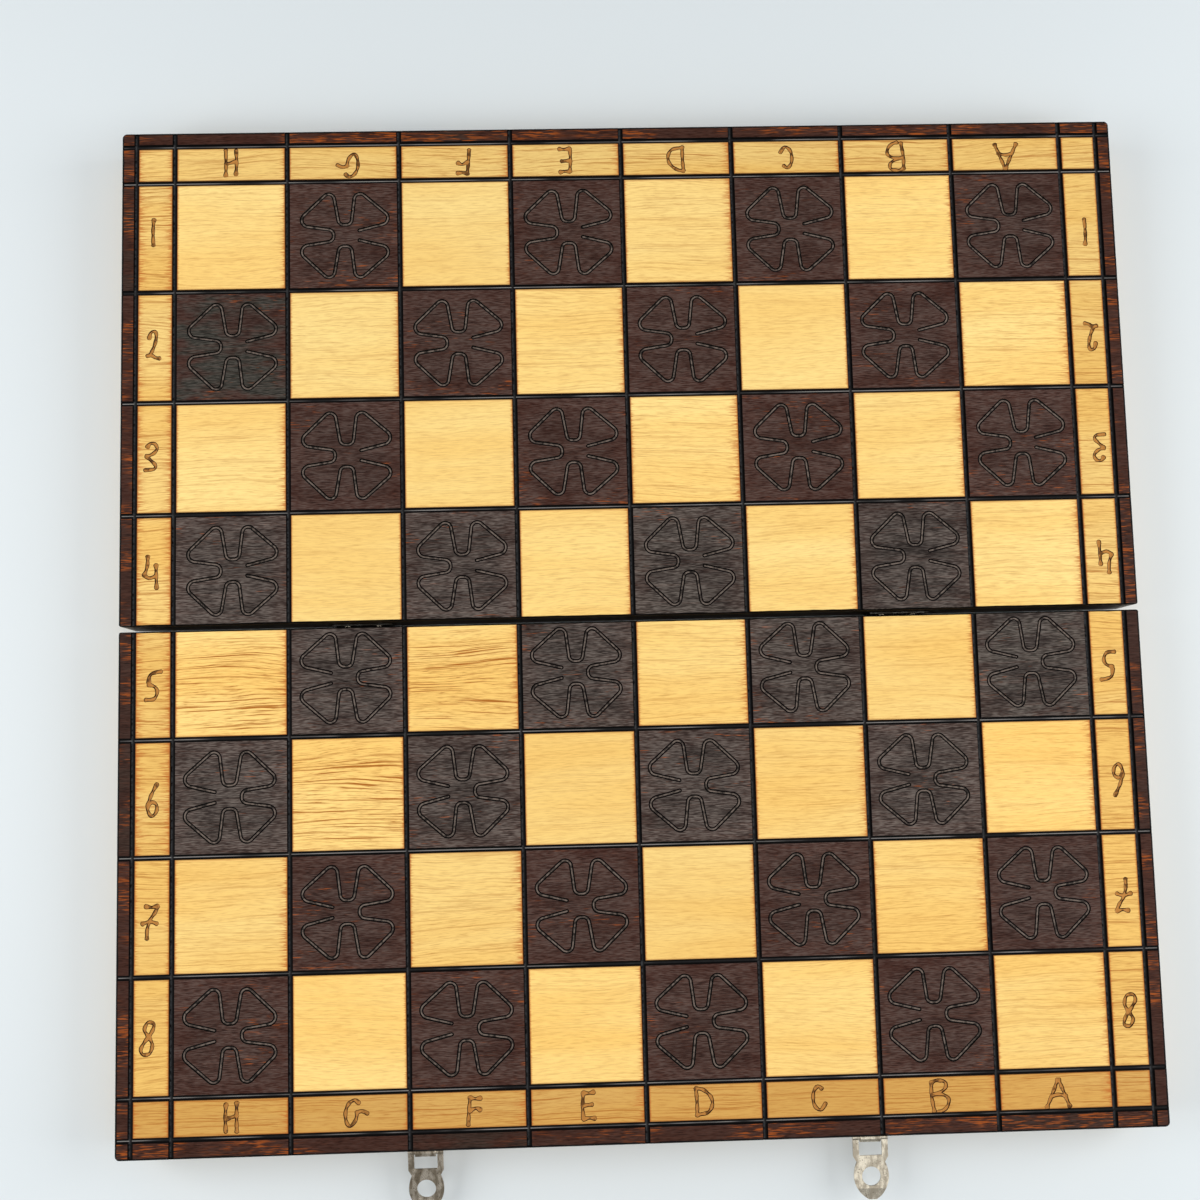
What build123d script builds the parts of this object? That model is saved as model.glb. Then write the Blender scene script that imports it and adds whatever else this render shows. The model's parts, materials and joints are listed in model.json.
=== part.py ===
from build123d import *
import os
from math import cos, radians, sin, tan

# A folding chess board: two shallow wooden boxes that lie open side down, hinged
# along the fold, with the playing surface on top of both. +X is right, +Y is away
# from the hasps, +Z is up. The origin is under the middle of the whole object.

os.makedirs("parts", exist_ok=True)

# Playing surface, in millimetres; the squares along the fold lost a little to the saw.
# The front half lost more, and its outer frame strip makes up for it.
square = 50.0
squares_across = 8
squares_deep_per_half = 4
rear_fold_row_loss = 1.5
front_fold_row_loss = 3.0
coordinate_strip = 17.0
frame_strip = 6.5
panel_thickness = 4.0
corner_radius = 2.0
fold_corner_radius = 1.0
panel_arris = 0.6
line_groove_width = 2.2
line_groove_depth = 0.7

# Clover ornament burned into each dark square
clover_margin = 2.5
clover_groove_width = 1.8
clover_groove_depth = 0.5
clover_petal_side_radius = 3.1
clover_petal_top_radius = 2.6
clover_notch_radius = 2.4
clover_loop_radius = 2.6

# Walls under each playing panel
wall_thickness = 9.0
wall_height = 21.0
finger_count = 5
fold_arris = 1.0

# Hinges in the fold
hinge_spacing = 240.0
hinge_length = 26.0
hinge_pin_radius = 0.55
hinge_pin_clearance = 0.05
leaf_thickness = 0.6
leaf_height = 12.0
knuckle_count = 5
knuckle_gap = 0.3
closing_gap = 0.2
nail_spacing = 14.0
nail_height = 7.5
nail_radius = 0.7
nail_length = 7.0
nail_head_radius = 1.5
nail_head_height = 0.4

# Hasps on the front wall; a slope is how far a swung-out hasp dips below level
left_hasp_x = -95.0
right_hasp_x = 97.0
left_hasp_slope = 10.0
right_hasp_slope = 0.0
pivot_height = 11.0
pivot_bar_radius = 1.2
tongue_clearance = 0.1
tongue_width = 8.8
tongue_standoff = 0.7
base_width = 15.0
base_rise = 8.0
base_thickness = 0.8
base_corner = 2.5
hasp_thickness = 1.0
rail_width = 2.6
window_side_clearance = 0.6
window_length = 6.5
window_corner = 0.5
neck_half_width = 6.15
shoulder_distance = 8.1
neck_distance = 10.5
eye_distance = 16.4
eye_rim_width = 3.5
tip_reach = 9.2
tip_half_width = 1.6
tip_corner = 1.2
lift_distance = 21.2
lift_angle = 16.0

# Strike plates and studs on the rear wall
stud_head_radius = 3.7
stud_eye_clearance = 0.35
stud_neck_radius = 2.6
stud_head_clearance = 0.25
stud_head_height = 2.1
stud_head_round = 1.2
stud_root_length = 3.0
strike_thickness = 0.8
strike_height = 9.0
strike_screw_clearance = 0.75

# Screws of the hasps and strike plates
screw_radius = 1.0
screw_length = 6.5
screw_head_radius = 1.9
screw_head_height = 0.9
screw_head_round = 0.6
screw_slot_width = 0.45
screw_slot_depth = 0.4
base_screw_spacing = 5.4
base_screw_height = 5.0
strike_screw_edge = 2.8

fastener_clearance = 0.05
overcut = 1.0

# Board sizes
playing_width = squares_across * square
board_width = playing_width + 2 * (coordinate_strip + frame_strip)
half_depth = squares_deep_per_half * square - rear_fold_row_loss + coordinate_strip + frame_strip
half_height = wall_height + panel_thickness

# Hinge sizes: each leaf is a sheet rolled round the pin, so its back is level with its knuckle
knuckle_bore_radius = hinge_pin_radius + hinge_pin_clearance
knuckle_radius = knuckle_bore_radius + leaf_thickness
fold_gap = 2 * knuckle_radius
axis_z = knuckle_radius
rim_z = axis_z + closing_gap / 2

# Hasp sizes
tongue_bore_radius = pivot_bar_radius + tongue_clearance
tongue_radius = tongue_bore_radius + base_thickness
pivot_offset = base_thickness + tongue_standoff + tongue_radius
window_half_width = tongue_width / 2 + window_side_clearance
hasp_half_width = window_half_width + rail_width
window_end = pivot_bar_radius + window_length
eye_hole_radius = stud_head_radius + stud_eye_clearance
eye_radius = eye_hole_radius + eye_rim_width
tip_distance = eye_distance + tip_reach
lift = radians(lift_angle)
tip_rise = (tip_distance - lift_distance) * tan(lift)
pivot_z = rim_z + pivot_height


def tip_reach_out(slope):
    """How far the tip of a hasp with this slope, in radians, reaches out from its pivot."""
    return tip_distance * cos(slope) + (tip_rise + hasp_thickness / 2 / cos(lift)) * sin(slope)


hasp_reach = max(tip_reach_out(radians(left_hasp_slope)), tip_reach_out(radians(right_hasp_slope)))

# Stud sizes: it meets the middle of the eye when the board is shut and the hasp hangs down
stud_height = eye_distance - pivot_height - closing_gap
stud_neck_length = pivot_offset + hasp_thickness / 2 + stud_head_clearance
stud_length = stud_neck_length + stud_head_height
strike_screw_x = eye_radius + strike_screw_clearance + screw_head_radius
strike_width = 2 * (strike_screw_x + strike_screw_edge)

# The fold lies behind the middle, because the hasps reach further out than the studs.
front_reach = knuckle_radius + half_depth + pivot_offset + hasp_reach
rear_reach = knuckle_radius + half_depth + stud_length
fold_y = (front_reach - rear_reach) / 2


def half_plane(side):
    """Plane of one half's rims, x along the fold and y from the fold outwards; side is 1 or -1."""
    origin = (0, fold_y + side * knuckle_radius, rim_z)
    return Plane(origin=origin, x_dir=(side, 0, 0), z_dir=(0, 0, 1))


rear_half = half_plane(1)
front_half = half_plane(-1)


def fold_face(half):
    """Outer face of a half's hinge wall, with y up."""
    return Plane(origin=half.origin, x_dir=half.x_dir, z_dir=-half.y_dir)


def outer_face(half):
    """Outer face of a half's outer wall, with y up."""
    return Plane(origin=half.origin + half.y_dir * half_depth, x_dir=-half.x_dir, z_dir=half.y_dir)


def save(piece, label):
    """Label a finished piece and write it under its own name."""
    piece.part.label = label
    export_step(piece.part, f"parts/{label}.step")


def draw_half_outline():
    """Outline of one half from above, with its corners rounded."""
    with Locations((0, half_depth / 2)):
        Rectangle(board_width, half_depth)
    fillet(vertices().group_by(Axis.Y)[-1], corner_radius)
    fillet(vertices().group_by(Axis.Y)[0], fold_corner_radius)


def clover_points():
    """Corners of the clover line, from its upper free end round to its lower one."""
    size = square - 2 * clover_margin
    upper = [
        (0.155, 0.05),
        (0.515, 0.14),
        (0.12, 0.485),
        (0.075, 0.11),
        (-0.045, 0.11),
        (-0.11, 0.485),
        (-0.495, 0.115),
        (-0.10, 0.056),
    ]
    lower = [(x, -y) for x, y in reversed(upper)]
    return [(x * size, y * size) for x, y in upper + lower]


def make_clover():
    """One clover outline as a stroke, centred on its square, open to the right."""
    points = clover_points()
    right_petal = [clover_petal_side_radius, clover_petal_top_radius]
    notch = [clover_notch_radius, clover_notch_radius]
    left_petal = [clover_petal_top_radius, clover_petal_side_radius]
    loop = [clover_loop_radius, clover_loop_radius]
    radii = right_petal + notch + left_petal + loop + right_petal + notch + left_petal
    with BuildSketch() as stroke:
        with BuildLine():
            FilletPolyline(*points, radius=radii)
        trace(line_width=clover_groove_width)
        with Locations(points[0], points[-1]):
            Circle(clover_groove_width / 2)
    return stroke.sketch


def dark_square_centres(fold_row_loss):
    """Middles of the dark squares of one half, in the half's own plane."""
    centres = []
    for column in range(squares_across):
        for row in range(squares_deep_per_half):
            if (column + row) % 2 == 0:
                x = (column + 0.5) * square - playing_width / 2
                y = (row + 0.5) * square - fold_row_loss
                centres.append((x, y))
    return centres


def make_panel(half, fold_row_loss, clover, label):
    """Plywood playing panel with its ruled grooves and clovers."""
    top = half.offset(half_height)
    outer_line = squares_deep_per_half * square - fold_row_loss + coordinate_strip
    across_lines = [(row + 1) * square - fold_row_loss for row in range(squares_deep_per_half)]
    across_lines.append(outer_line)
    side_line = playing_width / 2 + coordinate_strip
    inner_lines = [column * square - playing_width / 2 for column in range(squares_across + 1)]
    along_lines = [-side_line] + inner_lines + [side_line]
    with BuildPart() as panel:
        with BuildSketch(half.offset(wall_height)):
            draw_half_outline()
        extrude(amount=panel_thickness)
        top_edges = faces().sort_by(Axis.Z)[-1].edges().sort_by(Axis((0, 0, 0), half.y_dir))
        chamfer(top_edges[1:], panel_arris)
        with BuildSketch(top):
            with Locations(*[(0, y) for y in across_lines]):
                Rectangle(board_width + 2 * overcut, line_groove_width)
            with Locations(*[(x, half_depth / 2) for x in along_lines]):
                Rectangle(line_groove_width, half_depth + 2 * overcut)
        extrude(amount=-line_groove_depth, mode=Mode.SUBTRACT)
        with BuildSketch(top):
            with Locations(*dark_square_centres(fold_row_loss)):
                add(clover)
        extrude(amount=-clover_groove_depth, mode=Mode.SUBTRACT)
    save(panel, label)


finger_height = wall_height / finger_count


def finger_levels(first):
    """Middle heights of every second finger, from the first one named."""
    return [(level + 0.5) * finger_height for level in range(first, finger_count, 2)]


def cut_fingers(x_places, y_places, levels):
    """Cut finger gaps the full thickness of a wall at each corner named."""
    with Locations(*[(x, y, z) for x in x_places for y in y_places for z in levels]):
        Box(wall_thickness, wall_thickness, finger_height, mode=Mode.SUBTRACT)


def trim_to_outline(half):
    """Round a wall's corner off to the outline of its half."""
    with BuildSketch(half) as outline:
        draw_half_outline()
    extrude(outline.sketch, amount=wall_height, mode=Mode.INTERSECT)


def drill(plane, places, radius, depth):
    """Blind holes into a wall from the plane of its face."""
    with BuildSketch(plane) as mouths:
        with Locations(*places):
            Circle(radius)
    extrude(mouths.sketch, amount=-depth, mode=Mode.SUBTRACT)


corner_x = board_width / 2 - wall_thickness / 2
corner_ys = (wall_thickness / 2, half_depth - wall_thickness / 2)
nail_hole_radius = nail_radius + fastener_clearance
nail_hole_depth = nail_length + fastener_clearance
screw_hole_radius = screw_radius + fastener_clearance
stud_root_hole_radius = stud_neck_radius + fastener_clearance


def nail_places():
    """Nails of both hinges on a fold face, as x along the fold and height over the rim."""
    places = []
    for hinge_x in (-hinge_spacing / 2, hinge_spacing / 2):
        for offset in (-nail_spacing / 2, nail_spacing / 2):
            places.append((hinge_x + offset, axis_z + nail_height - rim_z))
    return places


def make_hinge_wall(half, label):
    """Wall along the fold, with its lower arris eased for the knuckles."""
    with BuildPart(half) as wall:
        with Locations((0, corner_ys[0], wall_height / 2)):
            Box(board_width, wall_thickness, wall_height)
        low_edges = edges().filter_by(Axis.X).group_by(Axis.Z)[0]
        chamfer(low_edges.sort_by(Axis((0, 0, 0), half.y_dir))[0], fold_arris)
        cut_fingers((-corner_x, corner_x), corner_ys[:1], finger_levels(1))
        trim_to_outline(half)
        drill(fold_face(half), nail_places(), nail_hole_radius, nail_hole_depth)
    save(wall, label)


def make_outer_wall(half, holes, label):
    """Long wall away from the fold; holes lists (places, radius, depth) on its outer face."""
    with BuildPart(half) as wall:
        with Locations((0, corner_ys[1], wall_height / 2)):
            Box(board_width, wall_thickness, wall_height)
        cut_fingers((-corner_x, corner_x), corner_ys[1:], finger_levels(1))
        trim_to_outline(half)
        for places, radius, depth in holes:
            drill(outer_face(half), places, radius, depth)
    save(wall, label)


def make_end_wall(half, end, label):
    """Short wall at one end of a half; end is 1 or -1 along the half's own x."""
    with BuildPart(half) as wall:
        with Locations((end * corner_x, half_depth / 2, wall_height / 2)):
            Box(wall_thickness, half_depth, wall_height)
        cut_fingers((end * corner_x,), corner_ys, finger_levels(0))
        trim_to_outline(half)
    save(wall, label)


# Panels and walls
clover = make_clover()
make_panel(rear_half, rear_fold_row_loss, clover, "rear_playing_panel")
make_panel(front_half, front_fold_row_loss, clover, "front_playing_panel")

hasp_xs = (left_hasp_x, right_hasp_x)
base_screw_xs = (-base_screw_spacing / 2, base_screw_spacing / 2)
strike_screw_xs = (-strike_screw_x, strike_screw_x)
base_screw_places = [(x + dx, pivot_height + base_screw_height) for x in hasp_xs for dx in base_screw_xs]
stud_places = [(-x, stud_height) for x in hasp_xs]
strike_screw_places = [(dx - x, stud_height) for x in hasp_xs for dx in strike_screw_xs]
base_screw_depth = screw_length - base_thickness + fastener_clearance
strike_screw_depth = screw_length - strike_thickness + fastener_clearance
front_holes = [(base_screw_places, screw_hole_radius, base_screw_depth)]
rear_holes = [
    (strike_screw_places, screw_hole_radius, strike_screw_depth),
    (stud_places, stud_root_hole_radius, stud_root_length + fastener_clearance),
]
make_hinge_wall(rear_half, "rear_hinge_wall")
make_hinge_wall(front_half, "front_hinge_wall")
make_outer_wall(rear_half, rear_holes, "rear_outer_wall")
make_outer_wall(front_half, front_holes, "front_outer_wall")
make_end_wall(rear_half, -1, "rear_left_wall")
make_end_wall(rear_half, 1, "rear_right_wall")
make_end_wall(front_half, 1, "front_left_wall")
make_end_wall(front_half, -1, "front_right_wall")


def make_fasteners(face, places, length, radius, head_radius, head_height, head_round, slot, label):
    """Identical headed fasteners whose heads rest on a face; slot is (width, depth) or None."""
    with BuildPart() as fasteners:
        with BuildSketch(face):
            with Locations(*places):
                Circle(radius)
        extrude(amount=-length)
        with BuildSketch(face):
            with Locations(*places):
                Circle(head_radius)
        extrude(amount=head_height)
        rims = edges().group_by(Axis((0, 0, 0), face.z_dir))[-1]
        fillet(rims, head_round)
        if slot:
            slot_width, slot_depth = slot
            with BuildSketch(face.offset(head_height)):
                with Locations(*places):
                    Rectangle(2 * head_radius + overcut, slot_width, rotation=35)
            extrude(amount=-slot_depth, mode=Mode.SUBTRACT)
    save(fasteners, label)


def make_leaf(hinge_x, side, label):
    """Hinge leaf rolled round the pin; side is 1 for the rear half and -1 for the front one."""
    start_x = hinge_x - hinge_length / 2
    section = Plane(origin=(start_x, fold_y, axis_z), x_dir=(0, 1, 0), z_dir=(1, 0, 0))
    sheet_y = side * (knuckle_radius - leaf_thickness / 2)
    plate_bottom = knuckle_radius + knuckle_gap
    pitch = hinge_length / knuckle_count
    first = 0 if side < 0 else 1
    nail_face = Plane(origin=(hinge_x, fold_y, axis_z), x_dir=(1, 0, 0), z_dir=(0, -1, 0))
    with BuildPart() as leaf:
        with BuildSketch(section):
            with Locations((sheet_y, (plate_bottom + leaf_height) / 2)):
                Rectangle(leaf_thickness, leaf_height - plate_bottom)
        extrude(amount=hinge_length)
        for knuckle in range(first, knuckle_count, 2):
            inner = knuckle_gap / 2
            low = knuckle * pitch + (inner if knuckle > 0 else 0)
            high = (knuckle + 1) * pitch - (inner if knuckle < knuckle_count - 1 else 0)
            with BuildSketch(section.offset(low)):
                Circle(knuckle_radius)
                with Locations((sheet_y, plate_bottom / 2)):
                    Rectangle(leaf_thickness, plate_bottom)
                Circle(knuckle_bore_radius, mode=Mode.SUBTRACT)
            extrude(amount=high - low)
        with BuildSketch(nail_face):
            with Locations((-nail_spacing / 2, nail_height), (nail_spacing / 2, nail_height)):
                Circle(nail_hole_radius)
        extrude(amount=fold_gap, both=True, mode=Mode.SUBTRACT)
    save(leaf, label)


def make_hinge(hinge_x, name):
    """Pin, two leaves and their nails at one place along the fold."""
    make_leaf(hinge_x, -1, f"{name}_front_leaf")
    make_leaf(hinge_x, 1, f"{name}_rear_leaf")
    with BuildPart() as pin:
        with BuildSketch(Plane(origin=(hinge_x, fold_y, axis_z), x_dir=(0, 1, 0), z_dir=(1, 0, 0))):
            Circle(hinge_pin_radius)
        extrude(amount=hinge_length / 2, both=True)
    save(pin, f"{name}_pin")
    for half, half_name in ((front_half, "front"), (rear_half, "rear")):
        leaf_face = fold_face(half).offset(leaf_thickness)
        own = [place for place in nail_places() if place[0] * half.x_dir.X * hinge_x > 0]
        make_fasteners(
            leaf_face, own, nail_length + leaf_thickness, nail_radius, nail_head_radius,
            nail_head_height, nail_head_height / 2, None, f"{name}_{half_name}_nails",
        )


# Hinges
make_hinge(-hinge_spacing / 2, "left_hinge")
make_hinge(hinge_spacing / 2, "right_hinge")

pivot_y = outer_face(front_half).origin.Y - pivot_offset


def pivot_section(hasp_x):
    """Section plane through a hasp's pivot, with x out from the wall and y up."""
    return Plane(origin=(hasp_x, pivot_y, pivot_z), x_dir=(0, -1, 0), z_dir=(-1, 0, 0))


def make_hasp_base(hasp_x, label):
    """Plate on the front wall, with the tongue that is rolled round the hasp's bar."""
    face = outer_face(front_half)
    plate_height = base_rise + tongue_radius
    with BuildPart() as base:
        with BuildSketch(face):
            with Locations((hasp_x, pivot_height - tongue_radius + plate_height / 2)):
                Rectangle(base_width, plate_height)
            fillet(vertices().group_by(Axis.Y)[-1], base_corner)
        extrude(amount=base_thickness)
        with BuildSketch(pivot_section(hasp_x)):
            Circle(tongue_radius)
            with Locations((-pivot_offset / 2, (base_thickness - 2 * tongue_radius) / 2)):
                Rectangle(pivot_offset, base_thickness)
            Circle(tongue_bore_radius, mode=Mode.SUBTRACT)
        extrude(amount=tongue_width / 2, both=True)
        with BuildSketch(face):
            with Locations(*[(hasp_x + dx, pivot_height + base_screw_height) for dx in base_screw_xs]):
                Circle(screw_hole_radius)
        extrude(amount=base_thickness, mode=Mode.SUBTRACT)
    save(base, label)


def draw_hasp_outline():
    """Lines round a hasp, flat, from its pivot down: rails, neck, eye and pointed tip."""
    widest = (eye_radius, -eye_distance)
    tip_side = (tip_half_width, -tip_distance)
    neck = (neck_half_width, -neck_distance)
    for side in (1, -1):
        TangentArc((side * widest[0], widest[1]), (side * neck[0], neck[1]), tangent=(0, 1))
        TangentArc((side * widest[0], widest[1]), (side * tip_side[0], tip_side[1]), tangent=(0, -1))
        Polyline(
            (side * neck[0], neck[1]),
            (side * hasp_half_width, -shoulder_distance),
            (side * hasp_half_width, pivot_bar_radius),
        )
    Line((hasp_half_width, pivot_bar_radius), (-hasp_half_width, pivot_bar_radius))
    Line(tip_side, (-tip_half_width, -tip_distance))


def make_hasp(hasp_x, slope_angle, label):
    """Swinging hasp: a bar and two rails round a window, the eye, and a lifted tip."""
    slope = radians(slope_angle)
    pivot = pivot_section(hasp_x)
    flat = Plane(origin=pivot.origin, x_dir=(1, 0, 0), z_dir=(0, -sin(slope), cos(slope)))
    side = Plane(origin=pivot.origin, x_dir=-flat.y_dir, z_dir=(-1, 0, 0))
    half_sheet = hasp_thickness / 2
    lifted_half_sheet = half_sheet / cos(lift)
    with BuildPart() as hasp:
        with BuildSketch(side):
            with BuildLine():
                Polyline(
                    (-pivot_bar_radius, half_sheet),
                    (lift_distance, half_sheet),
                    (tip_distance, tip_rise + lifted_half_sheet),
                    (tip_distance, tip_rise - lifted_half_sheet),
                    (lift_distance, -half_sheet),
                    (-pivot_bar_radius, -half_sheet),
                    close=True,
                )
            make_face()
        extrude(amount=hasp_half_width, both=True)
        with BuildSketch(flat):
            with BuildLine():
                draw_hasp_outline()
            make_face()
            fillet(vertices().group_by(Axis.Y)[0], tip_corner)
        extrude(amount=tip_distance, both=True, mode=Mode.INTERSECT)
        with BuildSketch(flat):
            with Locations((0, -window_end / 2)):
                Rectangle(2 * window_half_width, window_end)
            fillet(vertices().group_by(Axis.Y)[0], window_corner)
            with Locations((0, pivot_bar_radius)):
                Rectangle(2 * window_half_width, 2 * pivot_bar_radius)
            with Locations((0, -eye_distance)):
                Circle(eye_hole_radius)
        extrude(amount=hasp_thickness, both=True, mode=Mode.SUBTRACT)
        with BuildSketch(pivot):
            Circle(pivot_bar_radius)
        extrude(amount=hasp_half_width, both=True)
    save(hasp, label)


def make_strike(strike_x, name):
    """Strike plate with its riveted stud and two screws on the rear wall."""
    face = outer_face(rear_half)
    local_x = -strike_x
    screw_places = [(local_x + dx, stud_height) for dx in strike_screw_xs]
    with BuildPart() as plate:
        with BuildSketch(face):
            with Locations((local_x, stud_height)):
                SlotOverall(strike_width, strike_height)
                Circle(stud_root_hole_radius, mode=Mode.SUBTRACT)
            with Locations(*screw_places):
                Circle(screw_hole_radius, mode=Mode.SUBTRACT)
        extrude(amount=strike_thickness)
    save(plate, f"{name}_strike_plate")
    with BuildPart() as stud:
        with BuildSketch(face.offset(-stud_root_length)):
            with Locations((local_x, stud_height)):
                Circle(stud_neck_radius)
        extrude(amount=stud_root_length + stud_neck_length)
        with BuildSketch(face.offset(stud_neck_length)):
            with Locations((local_x, stud_height)):
                Circle(stud_head_radius)
        extrude(amount=stud_head_height)
        fillet(edges().group_by(Axis.Y)[-1], stud_head_round)
    save(stud, f"{name}_stud")
    make_fasteners(
        face.offset(strike_thickness), screw_places, screw_length, screw_radius, screw_head_radius,
        screw_head_height, screw_head_round, (screw_slot_width, screw_slot_depth), f"{name}_strike_screws",
    )


# Hasps, strike plates and studs
hasp_slopes = (left_hasp_slope, right_hasp_slope)
for hasp_x, slope_angle, name in zip(hasp_xs, hasp_slopes, ("left", "right")):
    make_hasp_base(hasp_x, f"{name}_hasp_base")
    make_hasp(hasp_x, slope_angle, f"{name}_hasp")
    make_fasteners(
        outer_face(front_half).offset(base_thickness),
        [(hasp_x + dx, pivot_height + base_screw_height) for dx in base_screw_xs],
        screw_length, screw_radius, screw_head_radius, screw_head_height, screw_head_round,
        (screw_slot_width, screw_slot_depth), f"{name}_hasp_screws",
    )
    make_strike(hasp_x, name)

print("fold line at y", round(fold_y, 3), "fold axis at z", axis_z, "rims at z", rim_z)
print("hasp pivot at y", round(pivot_y, 3), "z", round(pivot_z, 3))
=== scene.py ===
import json
import math

import bmesh
import bpy
from mathutils import Matrix, Vector

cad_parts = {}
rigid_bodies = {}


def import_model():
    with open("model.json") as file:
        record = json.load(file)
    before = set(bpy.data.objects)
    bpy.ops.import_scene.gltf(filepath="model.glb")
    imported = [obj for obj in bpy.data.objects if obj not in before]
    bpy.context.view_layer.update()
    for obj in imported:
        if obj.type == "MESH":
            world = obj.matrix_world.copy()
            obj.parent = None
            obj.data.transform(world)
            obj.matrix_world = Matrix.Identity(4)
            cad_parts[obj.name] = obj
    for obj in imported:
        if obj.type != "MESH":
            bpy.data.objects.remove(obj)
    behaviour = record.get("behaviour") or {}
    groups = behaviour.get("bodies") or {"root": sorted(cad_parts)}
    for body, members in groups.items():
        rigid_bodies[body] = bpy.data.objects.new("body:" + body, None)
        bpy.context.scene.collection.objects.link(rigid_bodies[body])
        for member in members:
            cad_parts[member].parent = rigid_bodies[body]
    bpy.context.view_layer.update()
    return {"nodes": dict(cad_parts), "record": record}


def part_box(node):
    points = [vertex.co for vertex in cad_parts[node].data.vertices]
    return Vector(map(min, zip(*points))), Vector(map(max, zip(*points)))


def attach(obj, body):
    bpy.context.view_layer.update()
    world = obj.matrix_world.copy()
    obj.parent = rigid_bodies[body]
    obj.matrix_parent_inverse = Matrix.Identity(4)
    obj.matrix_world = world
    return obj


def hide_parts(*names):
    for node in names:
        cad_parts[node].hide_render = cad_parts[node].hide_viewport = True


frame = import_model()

# A folding chess board, open on a pale table. Lengths are in metres, or in
# millimetres where a name ends in _mm. Shaders work in millimetres.
MM = 0.001

# Playing surface, as in the frame
SQUARE_MM = 50.0
SQUARES = 8
STRIP_MM = 17.0
FRAME_STRIP_MM = 6.5
PLAY_MM = SQUARES * SQUARE_MM / 2
STRIP_EDGE_MM = PLAY_MM + STRIP_MM
BOARD_EDGE_MM = STRIP_EDGE_MM + FRAME_STRIP_MM
# How much the squares along the fold lack, for the rear half (1) and the front one (-1)
FOLD_ROW_LOSS_MM = {1: 1.5, -1: 3.0}
HALF_DEPTH_MM = BOARD_EDGE_MM - FOLD_ROW_LOSS_MM[1]
TOP_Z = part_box("rear_playing_panel")[1][2]
PANEL_UNDERSIDE_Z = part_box("rear_playing_panel")[0][2]
REAR_FOLD_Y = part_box("rear_playing_panel")[0][1]
FRONT_FOLD_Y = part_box("front_playing_panel")[1][1]
FRONT_WALL_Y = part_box("front_outer_wall")[0][1]

# Camera: held above the board and tilted a little towards the player at the hasps
SENSOR_MM = 36.0
IMAGE_PIXELS = 1200
FOCAL_PIXELS = 1467
CAMERA_PLACE = (-0.03296, -0.04504, 0.66536)
CAMERA_TURN_DEG = (5.816, -1.512, -1.440)


def add_camera():
    """The scene's camera at the photograph's angle."""
    data = bpy.data.cameras.new("camera")
    data.sensor_width = SENSOR_MM
    data.lens = SENSOR_MM * FOCAL_PIXELS / IMAGE_PIXELS
    data.clip_start = 0.01
    camera = bpy.data.objects.new("camera", data)
    camera.location = CAMERA_PLACE
    camera.rotation_euler = [math.radians(turn) for turn in CAMERA_TURN_DEG]
    bpy.context.scene.collection.objects.link(camera)
    bpy.context.scene.camera = camera


def colour(red, green, blue):
    """Linear colour from the 0 to 255 values that a screen shows."""
    def linear(value):
        value /= 255
        return value / 12.92 if value <= 0.04045 else ((value + 0.055) / 1.055) ** 2.4
    return (linear(red), linear(green), linear(blue), 1.0)


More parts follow.
